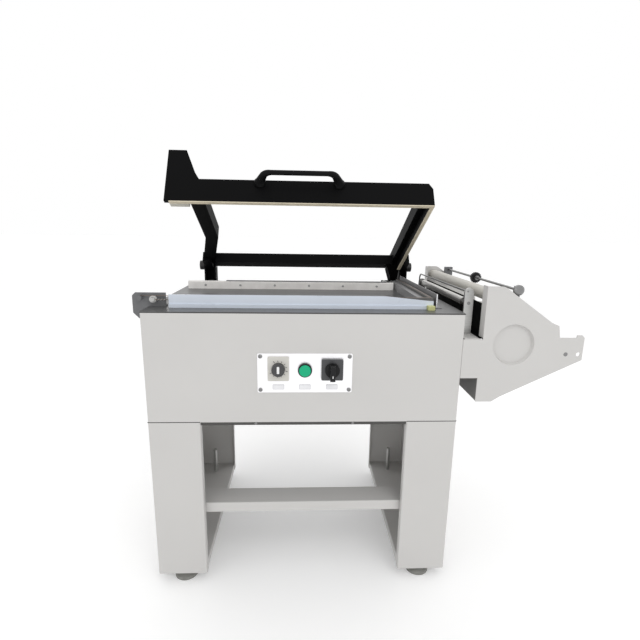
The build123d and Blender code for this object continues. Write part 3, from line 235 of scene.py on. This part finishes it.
for look, names in looks.items():
    for name in names.split():
        node = frame["nodes"][name]
        node.data.materials.clear()
        node.data.materials.append(look)


def soften(piece, width):
    """Small rounded edges, so that corners catch the light."""
    edge = piece.modifiers.new("edge", "BEVEL")
    edge.width = width
    edge.segments = 2
    edge.limit_method = "ANGLE"
    edge.angle_limit = radians(40)
    edge.harden_normals = True


node_edge = 0.0006
for name in (
    "top_deck control_plate timer_housing switch_body front_apron side_wall magnet_housing arm_front_bar "
    "arm_right_bar arm_left_bar arm_crossbar hinge_posts wire_insulator tension_bracket"
).split():
    soften(frame["nodes"][name], node_edge)


def middle(low, high, axis):
    """Middle of a box along one axis."""
    return (low[axis] + high[axis]) / 2


# Places in metres, read from the CAD nodes
shell_low, shell_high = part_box("cabinet_shell")
left_leg_low, left_leg_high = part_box("left_leg")
right_leg_low, right_leg_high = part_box("right_leg")
plate_low, plate_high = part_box("control_plate")
knob_low, knob_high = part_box("timer_knob")
button_low, button_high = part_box("start_button")
grip_low, grip_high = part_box("switch_handle")
rail_low, rail_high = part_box("rear_rail")
clip_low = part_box("spring_clip")[0]
pan_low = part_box("bottom_pan")[0]
panel_low, panel_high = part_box("rear_panel")
wall_low, wall_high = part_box("side_wall")
screen_low, screen_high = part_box("unwinder_panel")
handle_low, handle_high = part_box("arm_handle")
pulley_low, pulley_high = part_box("tension_pulley")
head_low, head_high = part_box("pulley_pins")
jaw_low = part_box("front_jaw")[0]
spring_low, spring_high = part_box("return_spring")
joints = {joint["name"]: joint for joint in frame["joints"]}
knob_x = middle(knob_low, knob_high, 0)
knob_z = middle(knob_low, knob_high, 2)
button_x = middle(button_low, button_high, 0)
grip_x = middle(grip_low, grip_high, 0)


def add_mesh(name, mesh, look, body):
    """New piece that moves with a body of the machine."""
    mesh.materials.append(look)
    made = bpy.data.objects.new(name, mesh)
    scene.collection.objects.link(made)
    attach(made, body)
    return made


def prism(name, outline, front_y, back_y):
    """Mesh of an outline of (x, z) points between two depths."""
    count = len(outline)
    points = [(x, y, z) for y in (front_y, back_y) for x, z in outline]
    faces = [tuple(range(count)), tuple(range(2 * count - 1, count - 1, -1))]
    for step in range(count):
        after = (step + 1) % count
        faces.append((step, step + count, after + count, after))
    mesh = bpy.data.meshes.new(name)
    mesh.from_pydata(points, [], faces)
    return mesh


def tag(
    name, center, size, corner, front_y, back_y, look, body="machine", edge=0.0001
):
    """Thin plate with round corners, facing the front."""
    corner_steps = 4
    outline = []
    for quarter, (side_x, side_z) in enumerate(((1, 1), (-1, 1), (-1, -1), (1, -1))):
        corner_x = center[0] + side_x * (size[0] / 2 - corner)
        corner_z = center[1] + side_z * (size[1] / 2 - corner)
        for step in range(corner_steps + 1):
            turn = pi / 2 * (quarter + step / corner_steps)
            outline.append((corner_x + corner * cos(turn), corner_z + corner * sin(turn)))
    piece = add_mesh(name, prism(name, outline, front_y, back_y), look, body)
    soften(piece, edge)


def strip(name, low, high, look, edge=0.00005):
    """Thin straight strip with broken edges between two corners."""
    outline = [(low[0], low[2]), (high[0], low[2]), (high[0], high[2]), (low[0], high[2])]
    piece = add_mesh(name, prism(name, outline, low[1], high[1]), look, "machine")
    soften(piece, edge)


def skinned(name, points, sides):
    """Closed mesh over rings that have the given number of points each."""
    last = len(points) - sides
    faces = [tuple(range(sides))[::-1], tuple(range(last, len(points)))]
    for low in range(0, last, sides):
        for side in range(sides):
            after = (side + 1) % sides
            faces.append((low + side, low + after, low + after + sides, low + side + sides))
    mesh = bpy.data.meshes.new(name)
    mesh.from_pydata(points, [], faces)
    return mesh


def turned(name, profile, sides=32):
    """Mesh turned about Z from (height, radius) pairs."""
    points = []
    for height, radius in profile:
        for side in range(sides):
            turn = 2 * pi * side / sides
            points.append((radius * cos(turn), radius * sin(turn), height))
    return skinned(name, points, sides)


def tube(name, route, radii, sides, reference):
    """Round bar along a route of points, with a radius at each of them and closed ends."""
    points = []
    for step, (place, radius) in enumerate(zip(route, radii)):
        ahead = (route[min(step + 1, len(route) - 1)] - route[max(step - 1, 0)]).normalized()
        first = ahead.cross(Vector(reference)).normalized()
        second = ahead.cross(first)
        for side in range(sides):
            turn = 2 * pi * side / sides
            points.append(place + radius * (cos(turn) * first + sin(turn) * second))
    mesh = skinned(name, points, sides)
    mesh.shade_smooth()
    return mesh


def screw_head(radius, height):
    """Domed head with a cross recess, standing on Z = 0."""
    rim, flat, dome_steps = 0.35, 0.3, 5
    dome = [(0.0, radius), (height * rim, radius)]
    for step in range(1, dome_steps):
        turn = pi / 2 * step / dome_steps
        dome.append((height * (rim + (1 - rim) * sin(turn)), radius * (flat + (1 - flat) * cos(turn))))
    head = bpy.data.objects.new("head", turned("head", dome))
    arm, half, depth = radius * 0.62, radius * 0.13, height * 0.45
    cross = [
        (arm, -half), (arm, half), (half, half), (half, arm), (-half, arm), (-half, half),
        (-arm, half), (-arm, -half), (-half, -half), (-half, -arm), (half, -arm), (half, -half),
    ]
    cutter = bpy.data.objects.new("cutter", prism("cutter", cross, -depth, depth))
    cutter.data.transform(Matrix.Translation((0.0, 0.0, height)) @ Matrix.Rotation(pi / 2, 4, "X"))
    for helper in (head, cutter):
        scene.collection.objects.link(helper)
    cut = head.modifiers.new("cross", "BOOLEAN")
    cut.operation = "DIFFERENCE"
    cut.object = cutter
    bpy.context.view_layer.update()
    mesh = bpy.data.meshes.new_from_object(head.evaluated_get(bpy.context.evaluated_depsgraph_get()))
    for helper in (head, cutter):
        bpy.data.objects.remove(helper)
    return mesh


def screws(name, head, places, axis, look):
    """Screw heads standing on the given places."""
    turn = Vector(axis).to_track_quat("Z", "Y").to_matrix().to_4x4()
    for count, place in enumerate(places):
        mesh = head.copy()
        mesh.transform(Matrix.Translation(place) @ turn)
        add_mesh(f"{name}_{count}", mesh, look, "machine")


# Screws of the control plate, the rear rail, the bottom pan and the rear panel
front = (0, -1, 0)
back = (0, 1, 0)
large_head = screw_head(radius=0.0046, height=0.0028)
plate_inset = 0.0065
plate_places = [
    (x, plate_low[1], z)
    for x in (plate_low[0] + plate_inset, plate_high[0] - plate_inset)
    for z in (plate_low[2] + plate_inset, plate_high[2] - plate_inset)
]
screws("plate_screw", large_head, plate_places, front, dark_steel)
small_head = screw_head(radius=0.0033, height=0.0015)
rail_screws = 6
rail_pitch = (rail_high[0] - rail_low[0]) / rail_screws
rail_z = middle(rail_low, rail_high, 2)
rail_places = [
    (rail_low[0] + rail_pitch * (count + 0.5), rail_low[1], rail_z) for count in range(rail_screws)
]
screws("rail_screw", small_head, rail_places, front, zinc)
pan_reach = 0.11
pan_rise = 0.0045
pan_places = [(button_x + side * pan_reach, pan_low[1], pan_low[2] + pan_rise) for side in (-1, 1)]
screws("pan_screw", small_head, pan_places, front, dark_steel)
panel_inset = 0.012
panel_x = middle(panel_low, panel_high, 0)
panel_places = [
    (x, panel_high[1], z)
    for x in (panel_low[0] + panel_inset, panel_x, panel_high[0] - panel_inset)
    for z in (panel_low[2] + panel_inset, panel_high[2] - panel_inset)
]
screws("panel_screw", small_head, panel_places, back, zinc)

# Bare label plates with a darker rim, under the timer, the button and the switch
plate_y = plate_low[1]
label_size = (0.025, 0.011)
label_corner = 0.0012
label_thick = 0.0006
label_rim = 0.0012
inner_size = (label_size[0] - label_rim, label_size[1] - label_rim)
inner_corner = 0.0008
inner_thick = 0.0008
label_rise = 0.013
rim_y = plate_y - label_thick
inner_y = plate_y - inner_thick
for count, x in enumerate((knob_x, button_x, grip_x)):
    place = (x, plate_low[2] + label_rise)
    tag(f"label_edge_{count}", place, label_size, label_corner, rim_y, plate_y, label_edge)
    tag(f"label_plate_{count}", place, inner_size, inner_corner, inner_y, plate_y, label_plate)

# Timer dial: marks over the knob's travel, with longer ones at the ends and the middle
dial_from, dial_to = joints["timer_turn"]["range_deg"]
mark_count = 11
long_every = 5
mark_long, mark_short = 0.0045, 0.003
mark_start = 0.0165
mark_half = 0.0005
mark_thick = 0.0006
mark_sunk = 0.0004
dial_y = knob_high[1] + mark_sunk
for mark in range(mark_count):
    turn = radians(dial_from + (dial_to - dial_from) * mark / (mark_count - 1))
    mark_end = mark_start + (mark_long if mark % long_every == 0 else mark_short)
    corners = (
        (mark_start, -mark_half), (mark_start, mark_half), (mark_end, mark_half), (mark_end, -mark_half),
    )
    outline = [
        (knob_x + along * sin(turn) + side * cos(turn), knob_z + along * cos(turn) - side * sin(turn))
        for along, side in corners
    ]
    mesh = prism(f"dial_mark_{mark}", outline, dial_y - mark_thick, dial_y)
    add_mesh(f"dial_mark_{mark}", mesh, dark_plate, "machine")

# White pointers on the timer knob and the switch grip
knob_y = knob_low[1]
grip_y = grip_low[1]
pointer_sunk = 0.0004
pointer_proud = 0.0015
pointer_rise = 0.001
pointer_size = (0.0055, 0.016)
pointer_corner = 0.0015
pointer_edge = 0.0004
tag(
    "knob_pointer", (knob_x, knob_z + pointer_rise), pointer_size, pointer_corner,
    knob_y - pointer_proud, knob_y + pointer_sunk, white_mark, "timer_knob", pointer_edge,
)
line_proud = 0.0004
line_rise = 0.011
line_size = (0.0016, 0.006)
line_corner = 0.0006
tag(
    "grip_line", (grip_x, grip_low[2] + line_rise), line_size, line_corner,
    grip_y - line_proud, grip_y + pointer_sunk, white_mark, "switch_handle",
)


def seam(name, low, high):
    """Thin dark line between two corners, a joint darkened with painted shade."""
    strip(name, low, high, seam_shade)


# Dark seams under the deck, between the cabinet and the legs, and beside the rear panel: real joints
# between the sheets, their darkness painted shade
seam_proud = 0.00015
seam_half = 0.0009
level_seams = (
    (shell_low[0], shell_high[0], shell_high[2]),
    (left_leg_low[0], left_leg_high[0], shell_low[2]),
    (right_leg_low[0], right_leg_high[0], shell_low[2]),
)
for face, y in (("front", shell_low[1]), ("rear", shell_high[1])):
    for count, (low_x, high_x, z) in enumerate(level_seams):
        seam(
            f"{face}_seam_{count}",
            (low_x, y - seam_proud, z - seam_half),
            (high_x, y + seam_proud, z + seam_half),
        )
for side, x in enumerate((shell_low[0], shell_high[0])):
    for row, z in enumerate((shell_low[2], shell_high[2])):
        seam(
            f"side_seam_{side}_{row}",
            (x - seam_proud, shell_low[1], z - seam_half),
            (x + seam_proud, shell_high[1], z + seam_half),
        )
for side, x in enumerate((panel_low[0], panel_high[0])):
    seam(
        f"panel_seam_{side}",
        (x - seam_half / 2, panel_high[1] - seam_proud, panel_low[2]),
        (x + seam_half / 2, panel_high[1] + seam_proud, panel_high[2]),
    )

# Bright cut edge at the front end of the side wall
cut_over = 0.0002
cut_width = 0.0022
cut_proud = 0.0006
cut_rise = 0.001
strip(
    "wall_edge",
    (wall_low[0] - cut_over, wall_low[1] - cut_proud, wall_low[2] + cut_rise),
    (wall_low[0] + cut_width, wall_low[1], wall_high[2]),
    bright_edge,
)

# Dark lip along the top of the rear rail, up to the spring clip
lip_start = 0.108
lip_inset = 0.001
lip_height = 0.0015
strip(
    "rail_lip",
    (rail_low[0] + lip_start, rail_low[1] + lip_inset, rail_high[2]),
    (clip_low[0] - lip_inset, rail_high[1], rail_high[2] + lip_height),
    bracket_paint,
)

# Folded foot of the unwinder's black panel, lying on the tray; its black is painted shade inside the
# unwinder
fold_width = 0.009
fold_gauge = 0.0012
strip(
    "panel_foot",
    (screen_low[0] - fold_width, screen_low[1], screen_low[2]),
    (screen_low[0], screen_high[1], screen_low[2] + fold_gauge),
    black_paint,
)

# Directions of the open arm, out of its front and up from its plane
arm_joint = joints["arm_hinge"]
hinge = Vector(arm_joint["pos_m"])
open_turn = radians(arm_joint["range_deg"][1])
outward = Vector((0.0, -cos(open_turn), sin(open_turn)))
upward = Vector((0.0, sin(open_turn), cos(open_turn)))


def reach_along(name, direction):
    """Least and greatest reach of a node from the hinge along a direction."""
    steps = [(vertex.co - hinge).dot(direction) for vertex in frame["nodes"][name].data.vertices]
    return min(steps), max(steps)


# Bow handle on the front of the arm, stouter towards its feet, in (along, outward) from its middle
handle_level = sum(reach_along("arm_handle", upward)) / 2
handle_base = hinge + reach_along("arm_front_bar", outward)[1] * outward + handle_level * upward
handle_base.x = middle(handle_low, handle_high, 0)
bow_foot = Vector((-0.0905, 0.003))
bow_corner = Vector((-0.0755, 0.0395))
bow_bend = 0.014
bow_step = 0.001
bow_sides = 20
bend_steps = 12
foot_radius, leg_radius, bend_radius, bar_radius = 0.0125, 0.0108, 0.0085, 0.0055
bow_leg = (bow_corner - bow_foot).normalized()
bend_from = bow_corner - bow_bend * bow_leg
bend_to = bow_corner + Vector((bow_bend, 0.0))
half_bow = [
    (Vector((bow_foot.x, 0.0)), foot_radius),
    (Vector((bow_foot.x, bow_foot.y / 2)), foot_radius),
    (bow_foot, foot_radius),
    (bow_foot + bow_step * bow_leg, leg_radius),
]
for step in range(bend_steps + 1):
    share = step / bend_steps
    before = bend_from.lerp(bow_corner, share)
    after = bow_corner.lerp(bend_to, share)
    half_bow.append((before.lerp(after, share), bend_radius + (bar_radius - bend_radius) * share))
bow = half_bow + [(Vector((-place.x, place.y)), radius) for place, radius in reversed(half_bow)]
bow_route = [handle_base + Vector((place.x, 0.0, 0.0)) + place.y * outward for place, radius in bow]
bow_mesh = tube("bow_handle", bow_route, [radius for place, radius in bow], bow_sides, upward)
bow_handle = add_mesh("bow_handle", bow_mesh, handle_plastic, "sealing_arm")
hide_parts("arm_handle")

# Twisted end of the wire, from the jaw to the head of the pulley's pin
wire_sides = 8
strand_radius = 0.0007
twist_radius = 0.001
twist_turns = 4
twist_steps = 64
twist_inset = 0.002
twist_drop = 0.0005
pulley_gap = 0.0015
face_gap = 0.0014
head_x = middle(head_low, head_high, 0)
head_z = middle(head_low, head_high, 2)
loop_y = pulley_low[1] - face_gap
twist_from = Vector((jaw_low[0], jaw_low[1] + twist_inset, head_z - twist_drop))
twist_to = Vector((pulley_high[0] + pulley_gap, loop_y, head_z))


def strand(phase):
    """Points of one wire of the twist, from the jaw towards the pulley."""
    made = []
    for step in range(twist_steps + 1):
        share = step / twist_steps
        turn = phase + 2 * pi * twist_turns * share
        center = twist_from.lerp(twist_to, share)
        made.append(center + twist_radius * Vector((0.0, cos(turn), sin(turn))))
    return made


# One wire ends in a loop round the head, the other in a small curl beside it
loop_from, loop_to = radians(16), radians(336)
loop_steps = 40
loop_radius = (head_high[0] - head_low[0]) / 2 + strand_radius
loop = []
for step in range(loop_steps + 1):
    turn = loop_from + (loop_to - loop_from) * step / loop_steps
    loop.append(Vector((head_x + loop_radius * cos(turn), loop_y, head_z + loop_radius * sin(turn))))
curl_steps = 24
curl_turn = 9.0
curl_width, curl_out, curl_height = 0.001, 0.0012, 0.0011
curl = []
for step in range(1, curl_steps + 1):
    share = step / curl_steps
    turn = curl_turn * share
    shift = Vector((-curl_width * share * (1 + cos(turn)), -curl_out * share, curl_height * sin(turn)))
    curl.append(twist_to + shift)
for name, route, look in (
    ("wire_loop", strand(0.0) + loop, zinc),
    ("wire_curl", strand(pi) + curl, wire_steel),
):
    mesh = tube(name, route, [strand_radius] * len(route), wire_sides, back)
    add_mesh(name, mesh, look, "machine")

# Return spring, a close coil between its two pegs
spring_x = middle(spring_low, spring_high, 0)
spring_z = middle(spring_low, spring_high, 2)
eye = 0.005
hook = 0.008
coil_radius = 0.0042
wire_radius = 0.0009
coil_turns = 26
turn_steps = 20
coil_reference = (0.0, 0.3, 1.0)
front_peg = Vector((spring_x, spring_low[1] + eye, spring_z))
rear_peg = Vector((spring_x, spring_high[1] - eye, spring_z))
coil_length = rear_peg.y - front_peg.y - 2 * hook
coil_steps = coil_turns * turn_steps
route = [front_peg]
for step in range(coil_steps + 1):
    turn = 2 * pi * step / turn_steps
    y = front_peg.y + hook + coil_length * step / coil_steps
    route.append(Vector((spring_x + coil_radius * cos(turn), y, spring_z + coil_radius * sin(turn))))
route.append(rear_peg)
coil_mesh = tube("spring_coil", route, [wire_radius] * len(route), wire_sides, coil_reference)
coil_mesh.materials.append(zinc)
coil = bpy.data.objects.new("spring_coil", coil_mesh)
scene.collection.objects.link(coil)
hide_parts("return_spring")
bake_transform(coil)

# Camera at the photograph's angle
camera_data = bpy.data.cameras.new("camera")
camera_data.sensor_width = 36.0
camera_data.lens = 24.07
camera = bpy.data.objects.new("camera", camera_data)
scene.collection.objects.link(camera)
scene.camera = camera
camera_place = Vector((-0.1319, -1.131, 0.858))
yaw, pitch, roll = radians(2.756), radians(12.411), radians(0.923)
forward = Vector((sin(yaw) * cos(pitch), cos(yaw) * cos(pitch), -sin(pitch)))
right = Vector((cos(yaw), -sin(yaw), 0.0))
up = right.cross(forward)
rolled_right = cos(roll) * right + sin(roll) * up
rolled_up = cos(roll) * up - sin(roll) * right
camera_turn = Matrix((rolled_right, rolled_up, -forward)).transposed()
camera.matrix_world = Matrix.LocRotScale(camera_place, camera_turn, None)


def background_rays(tree):
    """Socket that is 1 for rays of the camera, of reflections and of glass."""
    path = tree.nodes.new("ShaderNodeLightPath")
    seen = path.outputs["Is Camera Ray"]
    for kind in ("Is Glossy Ray", "Is Transmission Ray"):
        either = tree.nodes.new("ShaderNodeMath")
        either.operation = "MAXIMUM"
        tree.links.new(seen, either.inputs[0])
        tree.links.new(path.outputs[kind], either.inputs[1])
        seen = either.outputs[0]
    return seen


# Pale floor, a little brighter to those rays so that it runs into the backdrop
floor_reach = 30.0
floor_glow = 0.17
white = (1.0, 1.0, 1.0, 1.0)
floor_corners = [
    (side_x * floor_reach, side_y * floor_reach, 0.0)
    for side_x, side_y in ((-1, -1), (1, -1), (1, 1), (-1, 1))
]
floor_mesh = bpy.data.meshes.new("floor")
floor_mesh.from_pydata(floor_corners, [], [(0, 1, 2, 3)])
floor = bpy.data.objects.new("floor", floor_mesh)
scene.collection.objects.link(floor)
floor_paint = surface("floor_paint", (0.93, 0.93, 0.93), 0.8, grain=0.02, tint=0.0)
floor_tree = floor_paint.node_tree
floor_lift = floor_tree.nodes.new("ShaderNodeMath")
floor_lift.operation = "MULTIPLY"
floor_lift.inputs[1].default_value = floor_glow
floor_shader = floor_tree.nodes["Principled BSDF"]
floor_shader.inputs["Emission Color"].default_value = white
floor_tree.links.new(background_rays(floor_tree), floor_lift.inputs[0])
floor_tree.links.new(floor_lift.outputs[0], floor_shader.inputs["Emission Strength"])
floor_mesh.materials.append(floor_paint)

# Soft studio light, with a white backdrop for the camera and for reflections
light_level = 0.88
backdrop_level = 1.0
world = bpy.data.worlds.new("studio")
scene.world = world
world.use_nodes = True
world_tree = world.node_tree
backdrop = world_tree.nodes["Background"]
backdrop.inputs["Color"].default_value = white
strength = world_tree.nodes.new("ShaderNodeMapRange")
strength.inputs["To Min"].default_value = light_level
strength.inputs["To Max"].default_value = backdrop_level
world_tree.links.new(background_rays(world_tree), strength.inputs["Value"])
world_tree.links.new(strength.outputs["Result"], backdrop.inputs["Strength"])


def lamp(name, place, aim, size, power):
    """Square area light aimed at a point."""
    data = bpy.data.lights.new(name, "AREA")
    data.size = size
    data.energy = power
    made = bpy.data.objects.new(name, data)
    scene.collection.objects.link(made)
    made.location = place
    made.rotation_euler = (Vector(aim) - Vector(place)).to_track_quat("-Z", "Y").to_euler()


machine_middle = (0.0, 0.0, 0.6)
lamp("key", (0.9, -2.4, 2.8), machine_middle, size=1.6, power=16.0)
lamp("fill", (-2.2, -2.0, 1.6), machine_middle, size=1.8, power=4.0)
lamp("back", (0.4, 2.2, 2.6), machine_middle, size=1.6, power=4.0)
